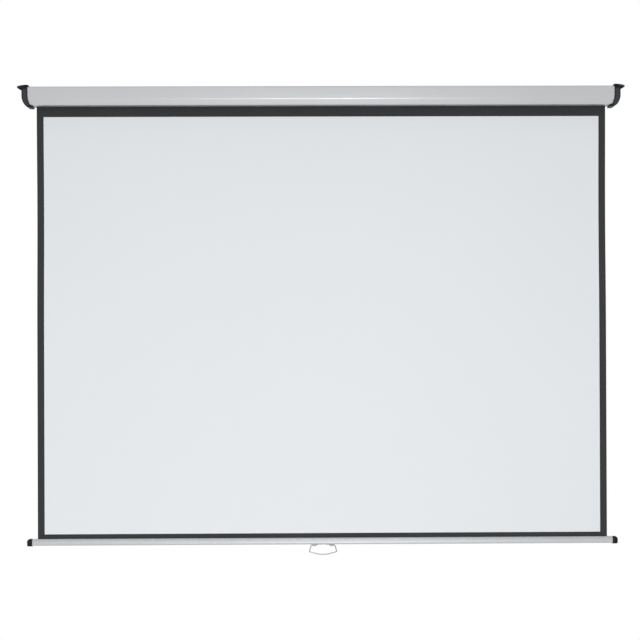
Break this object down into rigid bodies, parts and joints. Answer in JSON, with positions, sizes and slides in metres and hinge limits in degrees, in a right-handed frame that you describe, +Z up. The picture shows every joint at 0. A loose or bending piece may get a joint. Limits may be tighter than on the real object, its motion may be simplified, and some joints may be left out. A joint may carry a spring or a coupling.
{
  "type": "wall projection screen",
  "caption": "Pull-down projection screen: spring roller in an aluminium housing with eared end caps, white 4:3 cloth with black border, slotted bottom bar and wire pull handle.",
  "frame": {"origin": "centre of the housing's flat back face, on the wall plane, level with the roller's axis", "axes": "+X along the housing, +Y out of the back into the wall, +Z up"},
  "size_m": [1.597, 0.0546, 1.2345],
  "materials": {
    "anodised_aluminium": "satin silver anodised extrusion",
    "cap_plastic": "dark grey moulded plastic with a fine texture",
    "plain_steel": "plain rolled steel",
    "spring_steel": "oiled spring steel",
    "nylon": "natural nylon",
    "white_cloth": "matte white projection cloth",
    "black_border": "matte black border and backing",
    "zinc_plate": "bright zinc-plated steel"
  },
  "bodies": {
    "case": {"housing_profile": "anodised_aluminium", "end_cap_left": "cap_plastic", "end_cap_right": "cap_plastic", "cap_screw_left_front": "plain_steel", "cap_screw_left_back": "plain_steel", "cap_screw_right_front": "plain_steel", "cap_screw_right_back": "plain_steel", "spring_spindle": "plain_steel", "ratchet_hub": "plain_steel", "spindle_clip": "spring_steel", "spring_anchor": "nylon", "idler_bush": "nylon", "screen_cloth": "white_cloth", "mask_border": "black_border"},
    "roller": {"roller_tube": "plain_steel", "roller_plug_left": "nylon", "roller_plug_right": "nylon", "idler_pin": "plain_steel", "cloth_wraps": "white_cloth", "torsion_spring": "spring_steel", "centre_bush": "nylon", "pawl_pin_upper": "plain_steel", "pawl_pin_lower": "plain_steel"},
    "upper_pawl": {"pawl_upper": "plain_steel"},
    "lower_pawl": {"pawl_lower": "plain_steel"},
    "bar": {"bottom_bar": "anodised_aluminium", "hem_rod": "plain_steel", "bar_end_cap_left": "cap_plastic", "bar_end_cap_right": "cap_plastic", "handle_bracket": "zinc_plate", "handle_rivet_left": "zinc_plate", "handle_rivet_right": "zinc_plate"},
    "handle": {"pull_handle": "zinc_plate"}
  },
  "joints": [
    {"name": "screen_lift", "type": "slide", "parent": "case", "child": "bar", "axis": [0, 0, 1], "range_m": [0, 1.131], "deforming": ["screen_cloth", "mask_border"]},
    {"name": "roller_spin", "type": "hinge", "parent": "case", "child": "roller", "pos_m": [0, -0.029, 0], "axis": [1, 0, 0], "range_deg": [0, 3420]},
    {"name": "upper_pawl_swing", "type": "hinge", "parent": "roller", "child": "upper_pawl", "pos_m": [0.7633, -0.03395, 0.0106], "axis": [1, 0, 0], "range_deg": [0, 18]},
    {"name": "lower_pawl_swing", "type": "hinge", "parent": "roller", "child": "lower_pawl", "pos_m": [0.7633, -0.02405, -0.0106], "axis": [1, 0, 0], "range_deg": [0, 18]},
    {"name": "handle_swing", "type": "hinge", "parent": "bar", "child": "handle", "pos_m": [0, -0.01, -1.182], "axis": [1, 0, 0], "range_deg": [-90, 90]}
  ],
  "couplings": [
    {"joint": "roller_spin", "follows": "screen_lift", "rad_per_m": 52.632}
  ]
}
